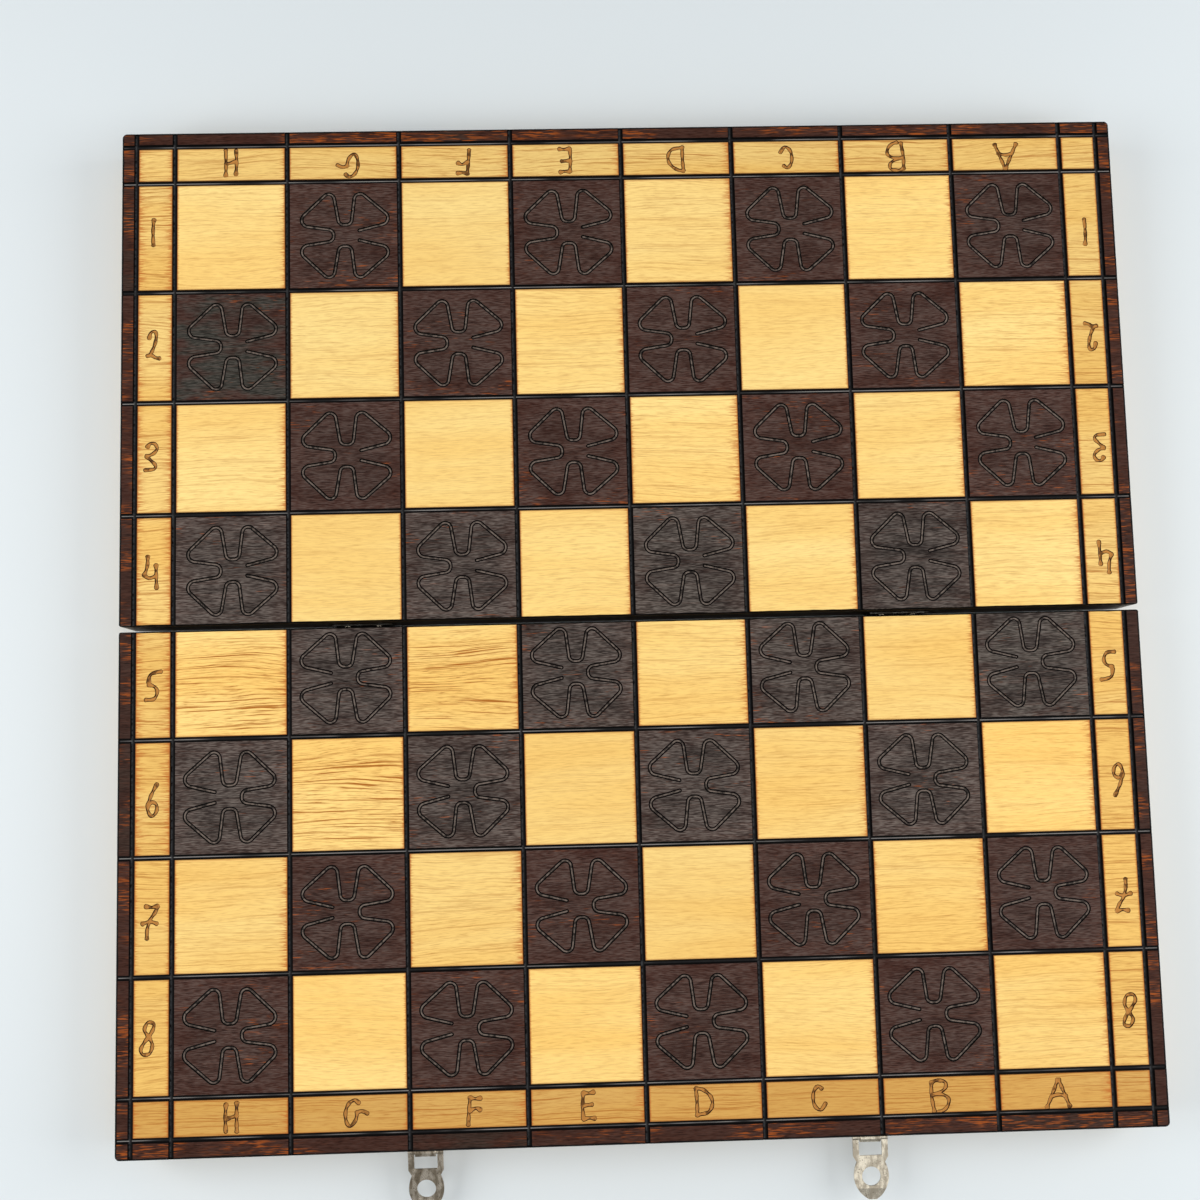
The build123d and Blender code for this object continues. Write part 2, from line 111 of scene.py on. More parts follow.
class Shader:
    """One material's nodes. Each call adds a node and gives its output."""

    def __init__(self, name):
        self.material = bpy.data.materials.new(name)
        self.material.use_nodes = True
        self.tree = self.material.node_tree
        self.surface = self.tree.nodes["Principled BSDF"]

    def node(self, kind, inputs, **settings):
        node = self.tree.nodes.new(kind)
        for key, value in settings.items():
            setattr(node, key, value)
        for key, value in inputs.items():
            self.feed(node.inputs[key], value)
        return node

    def feed(self, socket, value):
        if isinstance(value, bpy.types.NodeSocket):
            self.tree.links.new(value, socket)
        else:
            socket.default_value = value

    def math(self, operation, *values):
        return self.node("ShaderNodeMath", dict(enumerate(values)), operation=operation).outputs[0]

    def add(self, *values):
        total = values[0]
        for value in values[1:]:
            total = self.math("ADD", total, value)
        return total

    def times(self, *values):
        product = values[0]
        for value in values[1:]:
            product = self.math("MULTIPLY", product, value)
        return product

    def least(self, a, b):
        return self.math("MINIMUM", a, b)

    def most(self, a, b):
        return self.math("MAXIMUM", a, b)

    def invert(self, value):
        return self.math("SUBTRACT", 1.0, value)

    def step(self, value, low, high):
        """0 below low and 1 above high, with a smooth rise between; falls if low is above high."""
        inputs = {"Value": value, "From Min": low, "From Max": high}
        return self.node("ShaderNodeMapRange", inputs, interpolation_type="SMOOTHSTEP").outputs[0]

    def position(self):
        """The piece's own coordinates in millimetres, as (x, y, z)."""
        coordinates = self.tree.nodes.new("ShaderNodeTexCoord").outputs["Object"]
        scaled = self.node("ShaderNodeVectorMath", {0: coordinates, "Scale": 1 / MM}, operation="SCALE")
        parts = self.node("ShaderNodeSeparateXYZ", {0: scaled.outputs[0]})
        return parts.outputs

    def point(self, x, y, z):
        return self.node("ShaderNodeCombineXYZ", {0: x, 1: y, 2: z}).outputs[0]

    def noise(self, x, y, z, detail=2.0, roughness=0.5):
        """Noise between 0 and 1 about a middle of 0.5, whose lumps are about one unit across."""
        inputs = {"Vector": self.point(x, y, z), "Scale": 1.0, "Detail": detail, "Roughness": roughness}
        return self.node("ShaderNodeTexNoise", inputs).outputs[0]

    def stretched_noise(self, x, y, z, sizes, seed=0.0, **options):
        """Noise whose lumps have these sizes in millimetres along x, y and z."""
        scaled = [self.math("DIVIDE", value, size) for value, size in zip((x, y, z), sizes)]
        return self.noise(self.math("ADD", scaled[0], seed), scaled[1], scaled[2], **options)

    def random(self, x, y, seed):
        """A number between 0 and 1 for each whole (x, y)."""
        return self.node("ShaderNodeTexWhiteNoise", {"Vector": self.point(x, y, seed)}).outputs[0]

    def mix(self, factor, a, b):
        inputs = {0: factor, 6: a, 7: b}
        return self.node("ShaderNodeMix", inputs, data_type="RGBA", clamp_factor=True).outputs[2]

    def mix_value(self, factor, a, b):
        """A value between the plain numbers a and b."""
        return self.add(a, self.times(factor, b - a))

    def shade(self, tint, factor):
        """A colour made lighter or darker by a factor."""
        return self.node("ShaderNodeVectorMath", {0: tint, "Scale": factor}, operation="SCALE").outputs[0]

    def finish(self, base, roughness, height=None, height_mm=0.05, **constants):
        """Feeds the surface; height is a value from 0 to 1 that stands for height_mm of relief."""
        self.feed(self.surface.inputs["Base Color"], base)
        self.feed(self.surface.inputs["Roughness"], roughness)
        for key, value in constants.items():
            self.surface.inputs[key.replace("_", " ")].default_value = value
        if height is not None:
            inputs = {"Height": height, "Distance": height_mm * MM, "Strength": 1.0}
            bump = self.node("ShaderNodeBump", inputs)
            self.feed(self.surface.inputs["Normal"], bump.outputs[0])
        return self.material


# Wood of the playing surface
LIGHT_PALE = colour(252, 220, 142)
LIGHT_HONEY = colour(245, 198, 110)
END_STRIP_SHADE = colour(176, 118, 52)
LIGHT_LINE = colour(170, 102, 36)
LIGHT_ORANGE = colour(184, 100, 40)
DARK_RED = colour(60, 29, 20)
DARK_BLACK = colour(34, 27, 24)
DARK_GREEN = colour(28, 30, 24)
DARK_SHEEN = colour(150, 139, 130)
DARK_STREAK = colour(104, 66, 52)
DARK_LINE = colour(14, 9, 8)
SCRATCH = colour(176, 88, 30)
FRAME_RED = colour(58, 31, 21)
BURNT_BLACK = colour(6, 5, 5)
BURNT_GREY = colour(32, 31, 31)
BURNT_GLINT = colour(156, 151, 146)
FLANK_HIGHLIGHT = colour(62, 63, 64)
BURNT_BROWN = colour(52, 28, 14)
RIDGE_HIGHLIGHT = colour(124, 110, 100)
SCORCHED_BROWN = colour(184, 126, 62)
BARE_PLY = colour(214, 178, 126)
PLY_DARK = colour(150, 110, 70)
PLY_MM = 0.8


def plywood_grain(s, x, y, z, seed):
    """Rotary-cut veneer whose grain runs along x: broad tone, wavy lines and fine fibre."""
    sway = s.stretched_noise(x, y, z, (120, 40, 40), seed)
    wave = s.stretched_noise(x, y, z, (26, 9, 40), seed + 7.3)
    bent = s.add(y, s.times(s.math("SUBTRACT", sway, 0.5), 14.0), s.times(s.math("SUBTRACT", wave, 0.5), 1.6))
    lines = s.stretched_noise(x, bent, z, (46, 0.68, 40), seed + 13.1, detail=3.0, roughness=0.6)
    fibre = s.stretched_noise(x, bent, z, (5, 0.32, 40), seed + 23.7, detail=2.0)
    broad = s.stretched_noise(x, bent, z, (240, 26, 40), seed + 31.9, detail=3.0)
    return {
        "broad": s.step(broad, 0.34, 0.66),
        "lines": s.step(lines, 0.53, 0.65),
        "fibre": s.step(fibre, 0.40, 0.72),
        "pores": s.step(fibre, 0.64, 0.76),
    }


def line_flank(s, past_line):
    """Where the painted highlight on the left flank of an upright ruled line goes, 1 there and 0 elsewhere;
    past_line is how far right of the line it is.
    """
    return s.times(s.step(past_line, -0.95, -0.65), s.step(past_line, 0.05, -0.30))


def near_spot(s, x, y, centre_x, centre_y, reach_x, reach_y):
    """1 round a place and 0 away from it."""
    dx = s.math("DIVIDE", s.math("SUBTRACT", x, centre_x), reach_x)
    dy = s.math("DIVIDE", s.math("SUBTRACT", y, centre_y), reach_y)
    return s.step(s.add(s.times(dx, dx), s.times(dy, dy)), 1.0, 0.25)


def playing_panel_material(name, side, fold_y, honey, end_shade, black_reach, figured_spots, seed):
    """Stained, burned and varnished plywood; side is 1 for the rear half and -1 for the front one.

    The light wood is the more golden the higher honey is, and the strip along
    the end has the more painted shade the higher end_shade is. The stain is
    black rather than red up to black_reach from the fold, in millimetres.
    """
    s = Shader(name)
    x, y, z = s.position()
    along = s.times(x, side)
    depth = s.times(s.math("SUBTRACT", y, fold_y / MM), side)
    ruled = s.add(depth, FOLD_ROW_LOSS_MM[side])
    below_top = s.math("SUBTRACT", TOP_Z / MM, z)
    grain = plywood_grain(s, x, y, z, seed)

    # Cells: the squares, then the strips beyond them
    column = s.math("FLOOR", s.math("DIVIDE", s.add(along, PLAY_MM), SQUARE_MM))
    row = s.math("FLOOR", s.math("DIVIDE", ruled, SQUARE_MM))
    parity = s.math("MODULO", s.add(column, row, 10.0), 2.0)
    chance = s.random(column, row, seed)
    second_chance = s.random(column, row, seed + 5.0)
    across = s.math("ABSOLUTE", x)
    in_play = s.times(s.math("LESS_THAN", across, PLAY_MM), s.math("LESS_THAN", ruled, PLAY_MM))
    reach = s.most(across, ruled)
    in_frame = s.math("GREATER_THAN", reach, STRIP_EDGE_MM)
    dark = s.most(in_frame, s.times(in_play, s.math("LESS_THAN", parity, 0.5)))

    # Ruled lines
    column_line = s.math("ROUND", s.math("DIVIDE", x, SQUARE_MM))
    row_line = s.most(s.math("ROUND", s.math("DIVIDE", ruled, SQUARE_MM)), 1.0)
    past_column_line = s.math("SUBTRACT", x, s.times(column_line, SQUARE_MM))
    past_side_line = s.math("SUBTRACT", x, s.times(s.math("SIGN", x), STRIP_EDGE_MM))
    from_column_line = s.math("ABSOLUTE", past_column_line)
    from_row_line = s.math("ABSOLUTE", s.math("SUBTRACT", ruled, s.times(row_line, SQUARE_MM)))
    from_side_line = s.math("ABSOLUTE", past_side_line)
    from_end_line = s.math("ABSOLUTE", s.math("SUBTRACT", ruled, STRIP_EDGE_MM))
    from_upright_line = s.least(from_column_line, from_side_line)
    from_line = s.least(from_upright_line, s.least(from_row_line, from_end_line))
    in_line = s.step(from_line, 1.22, 1.05)
    line_middle = s.step(from_line, 0.52, 0.22)

    # Light wood, with scorched streaks where the upright lines were burned
    in_strip = s.math("GREATER_THAN", reach, PLAY_MM)
    golden = s.add(s.times(grain["broad"], 0.6), s.times(in_strip, 0.35), honey)
    light = s.mix(golden, LIGHT_PALE, LIGHT_HONEY)
    light = s.shade(light, s.add(0.95, s.times(chance, 0.08), s.times(in_strip, -0.09)))
    # Painted shade: the strip along the end is darkened towards tan, the more the higher end_shade is
    light = s.mix(s.times(s.math("GREATER_THAN", ruled, PLAY_MM), end_shade), light, END_STRIP_SHADE)
    strength = s.add(0.13, s.times(second_chance, 0.24), s.times(in_strip, 0.40))
    for spot in figured_spots:
        strength = s.add(strength, s.times(near_spot(s, x, depth, *spot), 0.95))
    light = s.mix(s.times(grain["lines"], strength), light, LIGHT_LINE)
    light = s.mix(s.times(grain["fibre"], s.add(0.22, s.times(strength, 0.2))), light, LIGHT_LINE)
    light = s.mix(s.times(grain["pores"], strength, 0.8), light, LIGHT_LINE)
    streak = s.stretched_noise(x, y, z, (6, 0.42, 40), seed + 41.0, detail=2.0, roughness=0.6)
    scorch_side = s.mix_value(s.math("LESS_THAN", past_column_line, 0.0), 0.25, 0.9)
    scorch_length = s.add(1.5, s.times(second_chance, 7.0))
    scorch_reach = s.add(0.7, s.times(s.step(streak, 0.42, 0.66), scorch_side, scorch_length))
    scorch = s.step(s.math("DIVIDE", s.math("SUBTRACT", from_upright_line, 1.0), scorch_reach), 1.0, 0.0)
    light = s.mix(s.times(scorch, 0.80), light, LIGHT_ORANGE)
    halo = s.step(from_line, 2.2, 1.0)
    light = s.mix(s.times(halo, 0.40), light, LIGHT_ORANGE)
    light = s.mix(s.times(s.step(from_line, 1.6, 1.0), 0.6), light, DARK_RED)

    # Dark stain, which took unevenly from square to square and shines on the grain
    mottle = s.stretched_noise(x, y, z, (22, 7, 40), seed + 53.0, detail=4.0, roughness=0.6)
    far_row = s.step(ruled, black_reach - 2, black_reach + 2)
    redness = s.add(s.times(chance, 0.15), s.times(s.step(mottle, 0.35, 0.7), 0.25), s.times(far_row, 0.55))
    redness = s.add(redness, s.times(s.step(from_line, 12.0, 3.0), 0.25))
    stain = s.mix(redness, DARK_BLACK, DARK_RED)
    stain = s.mix(s.times(s.step(second_chance, 0.80, 0.95), s.step(mottle, 0.40, 0.60)), stain, DARK_GREEN)
    stain = s.mix(s.times(in_frame, 0.55), stain, FRAME_RED)
    sheen = s.stretched_noise(x, y, z, (3.2, 0.28, 40), seed + 57.0, detail=1.0)
    sheen_place = s.step(mottle, 0.30, 0.62)
    streaks = s.times(s.step(sheen, 0.44, 0.66), s.add(0.14, s.times(sheen_place, 0.16)))
    shine = s.add(0.03, s.times(sheen_place, 0.10), streaks)
    shine = s.times(shine, s.invert(s.most(s.times(in_frame, 0.85), s.times(far_row, 0.50))))
    stain = s.mix(s.times(grain["lines"], 0.18), stain, DARK_STREAK)
    stain = s.mix(shine, stain, DARK_SHEEN)
    stain = s.mix(s.times(s.step(sheen, 0.46, 0.30), 0.6), stain, DARK_LINE)
    rubbed = s.stretched_noise(x, y, z, (7, 0.5, 40), seed + 61.0, detail=2.0)
    rubbed_place = s.stretched_noise(x, y, z, (34, 14, 40), seed + 67.0, detail=2.0)
    near_line = s.times(s.step(from_line, 7.0, 1.5), 0.05)
    worn = s.add(rubbed, near_line, s.times(in_frame, 0.085), s.times(far_row, 0.02))
    rubbed_place = s.add(rubbed_place, s.times(in_frame, 0.06))
    rub = s.times(s.step(worn, 0.64, 0.78), s.step(rubbed_place, 0.50, 0.66))
    stain = s.mix(s.times(rub, 0.65), stain, SCRATCH)

    base = s.mix(dark, light, stain)
    carved = s.step(below_top, 0.02, 0.07)
    burnt = s.stretched_noise(x, y, z, (1.6, 1.6, 1.6), seed + 71.0, detail=3.0)

    # Letters and numbers: dark edges and a browner bottom. Clovers: black edges and a painted highlight along
    # the ridge
    pressed = s.stretched_noise(x, y, z, (3.2, 3.2, 40), seed + 77.0, detail=2.0)
    letter = s.mix(s.step(below_top, 0.30, 0.37), BURNT_BROWN, SCORCHED_BROWN)
    letter = s.mix(s.times(s.step(pressed, 0.52, 0.66), 0.75), letter, BURNT_BROWN)
    ridge = s.times(s.step(below_top, 0.31, 0.26), s.add(0.10, s.times(s.step(burnt, 0.30, 0.62), 0.7)))
    clover = s.mix(ridge, BURNT_BLACK, RIDGE_HIGHLIGHT)
    base = s.mix(carved, base, s.mix(dark, letter, clover))

    # The ruled lines, with painted highlights along them, and the outer arris
    line = s.mix(s.times(line_middle, s.add(0.45, s.times(burnt, 0.6))), BURNT_BLACK, BURNT_GREY)
    glint = s.stretched_noise(x, y, z, (30, 6, 40), seed + 79.0, detail=2.0)
    from_level_line = s.least(from_row_line, from_end_line)
    on_level_line = s.math("LESS_THAN", from_level_line, s.math("SUBTRACT", from_upright_line, 0.5))
    glint = s.times(s.step(from_line, 0.26, 0.08), s.step(glint, 0.38, 0.62), on_level_line)
    line = s.mix(s.times(glint, 0.70), line, BURNT_GLINT)
    # Painted highlight: a grey streak on the left flank of the upright lines
    flank_highlight = s.most(line_flank(s, past_column_line), line_flank(s, past_side_line))
    flank_highlight = s.times(flank_highlight, s.step(burnt, 0.30, 0.62), s.invert(on_level_line))
    line = s.mix(s.times(flank_highlight, 0.8), line, FLANK_HIGHLIGHT)
    base = s.mix(in_line, base, line)
    # The arris is painted black along the rim, and along the fold edge this black is painted shade in the gap
    from_rim = s.least(s.math("SUBTRACT", BOARD_EDGE_MM, across), s.math("SUBTRACT", HALF_DEPTH_MM, depth))
    from_edge = s.least(from_rim, s.add(depth, 0.35))
    uneven = s.times(s.stretched_noise(x, y, z, (9, 9, 9), seed + 83.0), 0.8)
    arris = s.step(s.math("SUBTRACT", from_edge, uneven), 0.62, 0.32)
    base = s.mix(arris, base, BURNT_BLACK)

    # The plies show on the edge faces, and bare wood underneath
    on_edge = s.times(s.math("LESS_THAN", s.least(from_rim, depth), 0.06),
                      s.math("GREATER_THAN", below_top, 0.75))
    ply = s.math("PINGPONG", s.add(below_top, 0.35), PLY_MM)
    end_grain = s.stretched_noise(x, y, z, (0.7, 0.7, 0.5), seed + 91.0, detail=2.0)
    edge = s.mix(s.step(ply, 0.36, 0.44), BARE_PLY, PLY_DARK)
    edge = s.mix(s.times(s.step(end_grain, 0.5, 0.7), 0.5), edge, PLY_DARK)
    edge = s.mix(0.30, edge, DARK_RED)
    # Painted shade: the edge face in the fold is made nearly black, as the gap is dark
    edge = s.mix(s.times(s.math("LESS_THAN", depth, 0.5), 0.85), edge, BURNT_BLACK)
    base = s.mix(on_edge, base, edge)
    underneath = s.step(z, PANEL_UNDERSIDE_Z / MM + 0.08, PANEL_UNDERSIDE_Z / MM + 0.02)
    under = s.mix(s.times(grain["lines"], 0.4), BARE_PLY, PLY_DARK)
    under = s.mix(s.times(grain["pores"], 0.5), under, PLY_DARK)
    base = s.mix(underneath, base, under)

    roughness = s.add(0.36, s.times(mottle, 0.10), s.times(in_line, 0.16), s.times(dark, 0.04))
    roughness = s.add(roughness, s.times(underneath, 0.25))
    relief = s.add(s.times(grain["lines"], -0.35), s.times(grain["pores"], -0.5))
    relief = s.add(relief, s.times(burnt, in_line, 0.5))
    return s.finish(base, roughness, relief, Specular_IOR_Level=0.06)


# Walls
WALL_PALE = colour(226, 188, 132)
WALL_RING = colour(192, 146, 90)
WALL_PORE = colour(128, 86, 48)
WALL_DARK_PATCH = colour(96, 66, 42)
FOLD_GAP_SHADE = colour(24, 17, 13)
RING_MM = 2.6


def wall_material(name, axis, heart, fold_face_y, seed):
    """Sawn and varnished hardwood whose grain runs along axis 0 or 1, with painted shade on the face in the
    fold.

    The growth rings run round heart, which is off the piece, in millimetres.
    """
    s = Shader(name)
    x, y, z = s.position()
    run, flat = (x, y) if axis == 0 else (y, x)
    bend = s.stretched_noise(run, flat, z, (180, 30, 30), seed, detail=2.0)
    shift = s.times(s.math("SUBTRACT", bend, 0.5), 9.0)
    from_heart_flat = s.math("SUBTRACT", s.add(flat, shift), heart[0])
    from_heart_up = s.math("SUBTRACT", s.add(z, shift), heart[1])
    square = s.add(s.times(from_heart_flat, from_heart_flat), s.times(from_heart_up, from_heart_up))
    radius = s.math("SQRT", square)
    ring = s.math("FRACT", s.math("DIVIDE", radius, RING_MM))
    late = s.times(s.step(ring, 0.45, 0.92), s.step(ring, 1.0, 0.95))
    fibre = s.stretched_noise(run, flat, z, (22, 0.4, 0.4), seed + 11.0, detail=2.0)
    pores = s.stretched_noise(run, flat, z, (6, 0.22, 0.22), seed + 17.0, detail=1.0)
    tone = s.stretched_noise(run, flat, z, (90, 14, 14), seed + 23.0, detail=3.0)
    base = s.mix(s.times(late, 0.60), WALL_PALE, WALL_RING)
    base = s.mix(s.times(s.step(fibre, 0.45, 0.75), 0.35), base, WALL_RING)
    base = s.mix(s.times(s.step(pores, 0.66, 0.76), 0.45), base, WALL_PORE)
    base = s.shade(base, s.add(0.90, s.times(tone, 0.18)))
    # Dark patches, more of them towards the foot of the wall
    dark_patches = s.stretched_noise(x, y, z, (30, 30, 8), seed + 29.0, detail=4.0, roughness=0.6)
    low = s.step(z, 7.0, 1.0)
    base = s.mix(s.times(s.step(dark_patches, 0.55, 0.8), s.add(0.15, s.times(low, 0.35))), base, WALL_DARK_PATCH)
    # Painted shade: the face in the fold gap is made nearly black
    in_fold = s.step(s.math("ABSOLUTE", s.math("SUBTRACT", y, fold_face_y / MM)), 0.4, 0.1)
    base = s.mix(s.times(in_fold, s.add(0.80, s.times(tone, 0.2))), base, FOLD_GAP_SHADE)
    roughness = s.add(0.38, s.times(tone, 0.12), s.times(dark_patches, 0.08))
    relief = s.add(s.times(late, 0.3), s.times(fibre, 0.3), s.times(s.step(pores, 0.66, 0.76), -0.6))
    return s.finish(base, roughness, relief, Specular_IOR_Level=0.35)


# Metal
NICKEL = colour(206, 197, 178)
NICKEL_DULL = colour(160, 150, 133)
# The left hasp's nickel is the right one's painted darker, as painted shade: tilted down, it reflects less
# light
DIM_NICKEL = colour(196, 184, 166)
DIMMER_NICKEL = colour(134, 122, 104)
TARNISH = colour(92, 80, 64)
SPECK = colour(50, 42, 34)
STEEL = colour(120, 116, 110)
STEEL_DULL = colour(84, 78, 70)


def metal_material(name, bright, dull, wear, seed):
    """Plated sheet metal with dull patches, specks and fine scratches; wear is from 0 to 1."""
    s = Shader(name)
    x, y, z = s.position()
    patch = s.stretched_noise(x, y, z, (2.2, 5.0, 5.0), seed, detail=3.0, roughness=0.6)
    speck = s.stretched_noise(x, y, z, (0.6, 0.6, 0.6), seed + 3.0, detail=2.0)
    scratch = s.stretched_noise(s.add(x, s.times(y, 0.6)), y, z, (0.12, 4.0, 4.0), seed + 9.0, detail=1.0)
    base = s.mix(s.step(patch, 0.36, 0.60), bright, dull)
    base = s.mix(s.times(s.step(patch, 0.58, 0.74), wear), base, TARNISH)
    base = s.mix(s.times(s.step(speck, 0.62, 0.68), 0.6 + 0.3 * wear), base, SPECK)
    # Painted shade close to the wall, round the tongue and on the base plate
    from_wall = s.math("SUBTRACT", FRONT_WALL_Y / MM, y)
    shade_near_wall = s.times(s.step(from_wall, 1.9, 0.9), s.step(from_wall, -1.0, 0.0))
    base = s.mix(s.times(shade_near_wall, 0.30), base, SPECK)
    roughness = s.add(0.24, s.times(s.step(patch, 0.35, 0.7), 0.12), s.times(s.step(scratch, 0.6, 0.7), 0.08))
    relief = s.add(s.times(scratch, 0.6), s.times(s.step(speck, 0.64, 0.72), -0.5))
    return s.finish(base, roughness, relief, height_mm=0.03, Metallic=1.0)


# Letters and numbers, as strokes in millimetres about the middle of each
GLYPH_STROKES = {
    "1": [[(0.3, 6.0), (0.0, 3.4), (-0.1, -1.6), (0.1, -5.8)]],
    "2": [[(-1.9, 3.2), (-1.2, 5.7), (0.6, 6.2), (1.2, 4.3), (0.6, 0.6), (-1.1, -3.6), (-2.7, -4.8)],
          [(-2.7, -4.8), (-0.8, -4.6), (0.8, -5.6), (2.6, -6.0)]],
    "3": [[(-1.6, 4.3), (-0.4, 5.8), (1.6, 5.6), (2.6, 3.4), (0.8, 1.2), (-2.0, 0.2)],
          [(-2.0, 0.2), (-0.4, -1.4), (1.9, -3.9), (1.2, -5.6), (-2.6, -6.0)]],
    "4": [[(-1.3, 7.0), (-1.5, 2.7), (-2.8, -1.3)], [(-2.8, -1.3), (-0.6, -2.5), (2.2, -1.6)],
          [(2.3, 3.2), (2.4, -2.0), (2.6, -7.0)]],
    "5": [[(3.4, 6.3), (1.1, 6.0), (-1.3, 4.8), (-1.9, 1.6)],
          [(-1.9, 0.8), (0.8, -0.3), (1.8, -2.6), (0.4, -5.4), (-3.1, -5.8)]],
    "6": [[(1.9, 6.9), (0.2, 3.8), (-1.2, 0.4), (-2.0, -3.8), (-0.4, -6.7), (1.6, -5.0),
           (1.8, -2.1), (0.0, -0.7), (-1.5, -1.7)]],
    "7": [[(-1.9, 6.7), (0.8, 6.3), (3.2, 6.8)],
          [(3.2, 6.6), (2.0, 4.0), (0.0, 1.0), (-1.2, -3.0), (-1.3, -6.8)],
          [(-3.3, -0.6), (0.0, 0.3), (2.8, -0.6)]],
    "8": [[(0.4, 0.5), (-1.4, 3.4), (0.0, 6.4), (2.4, 5.9), (2.2, 3.6), (0.4, 0.5), (-1.2, -1.4),
           (-2.9, -4.5), (-2.0, -6.7), (0.8, -6.3), (1.9, -2.8), (0.4, 0.5)]],
    "A": [[(0.4, 5.6), (-2.0, 0.2), (-4.8, -5.8)], [(0.8, 5.6), (2.8, 0.2), (5.0, -5.6)],
          [(-2.8, -1.4), (0.4, -0.6), (3.6, -1.4)]],
    "B": [[(-3.4, 5.6), (-3.5, 0.0), (-2.6, -6.2)],
          [(-3.4, 5.6), (-1.0, 6.5), (2.4, 5.8), (2.6, 3.4), (0.0, 1.4), (-3.0, 0.6)],
          [(-3.0, 0.6), (0.8, 0.7), (3.6, -1.0), (3.4, -3.8), (1.6, -5.8), (-0.8, -6.6)]],
    "C": [[(1.2, 4.0), (-0.4, 5.0), (-2.0, 3.4), (-2.6, 0.6), (-2.0, -3.0), (0.4, -4.8), (2.6, -2.2)]],
    "D": [[(-3.2, 5.6), (-2.9, 0.8), (-2.9, -5.4)],
          [(-3.2, 5.8), (0.0, 5.0), (3.0, 2.2), (3.6, -1.2), (1.8, -4.2), (-2.9, -5.2)]],
    "E": [[(-1.8, 5.4), (-2.2, 0.0), (-2.0, -5.4)], [(-1.8, 5.4), (0.4, 5.2), (2.6, 5.6)],
          [(-2.2, 0.2), (1.8, 0.5)], [(-2.0, -5.4), (0.4, -5.0), (2.8, -5.2)]],
    "F": [[(-1.6, 5.4), (-2.2, 0.0), (-2.6, -5.8)], [(-1.6, 5.2), (0.6, 4.8), (2.8, 5.0)],
          [(-2.0, -0.2), (0.6, 0.9), (2.6, 0.2)]],
    "G": [[(2.0, 4.2), (0.2, 5.4), (-2.2, 4.0), (-3.6, 0.6), (-3.2, -3.6), (-1.6, -5.2), (0.6, -2.8),
           (1.3, 0.4)], [(1.3, 0.4), (3.4, 0.8), (5.6, -0.2)]],
    "H": [[(-2.1, 5.4), (-2.4, 0.0), (-2.2, -5.8)], [(2.4, 5.9), (2.3, 0.4), (2.4, -5.9)],
          [(-2.2, -0.7), (2.4, 0.6)]],
}
# How far each number or letter stands off the middle of its place, in millimetres
LEFT_SHIFTS = {
    "1": (-1.0, 2.5), "2": (-0.6, 1.2), "3": (-1.4, 1.2), "4": (-1.3, 0.0),
    "5": (0.0, -1.7), "6": (0.0, -0.6), "7": (-0.7, -2.0), "8": (-1.4, 0.0),
}
RIGHT_SHIFTS = {
    "1": (1.3, -3.4), "2": (1.2, -2.0), "3": (2.0, -3.0), "4": (1.7, -2.3),
    "5": (0.0, -2.3), "6": (1.5, -2.3), "7": (0.6, -2.0), "8": (0.2, -1.0),
}
FRONT_SHIFTS = {
    "A": (0.6, -1.0), "B": (0.0, -0.6), "C": (-1.6, 0.0),
    "D": (-0.8, 0.0), "F": (2.0, -0.4), "G": (1.5, 0.0),
}
REAR_SHIFTS = {"A": (0.6, -1.0), "B": (0.0, -0.4), "F": (4.0, -0.4), "G": (3.0, -1.0), "H": (0.0, 0.8)}
STROKE_HALF_WIDTH = 0.00085
STROKE_DEPTH = 0.00042
STROKE_ABOVE = 0.00012
STROKE_SIDES = 12
STROKE_STEP_MM = 0.6
DOT_SWELL = 0.30
DOT_REACH_MM = 1.2
WOBBLE = 0.13
# Rings that round off the end of a stroke, each as (size, how far out) in half widths
ROUND_END = [(0.92, 0.40), (0.62, 0.80), (0.20, 0.98)]


def smooth_path(points):
    """The points of a stroke with a smooth curve through them."""
    ends = [points[0]] + points + [points[-1]]
    path = []
    for before, start, stop, after in zip(ends, ends[1:], ends[2:], ends[3:]):
        length = math.dist(start, stop)
        count = max(2, round(length / STROKE_STEP_MM))
        for index in range(count):
            t = index / count
            weights = (
                -t / 2 + t * t - t ** 3 / 2,
                1 - 2.5 * t * t + 1.5 * t ** 3,
                t / 2 + 2 * t * t - 1.5 * t ** 3,
                -t * t / 2 + t ** 3 / 2,
            )
            path.append(Vector([sum(w * p[axis] for w, p in zip(weights, (before, start, stop, after)))
                                for axis in (0, 1)]))
    path.append(Vector(points[-1]))
    return path


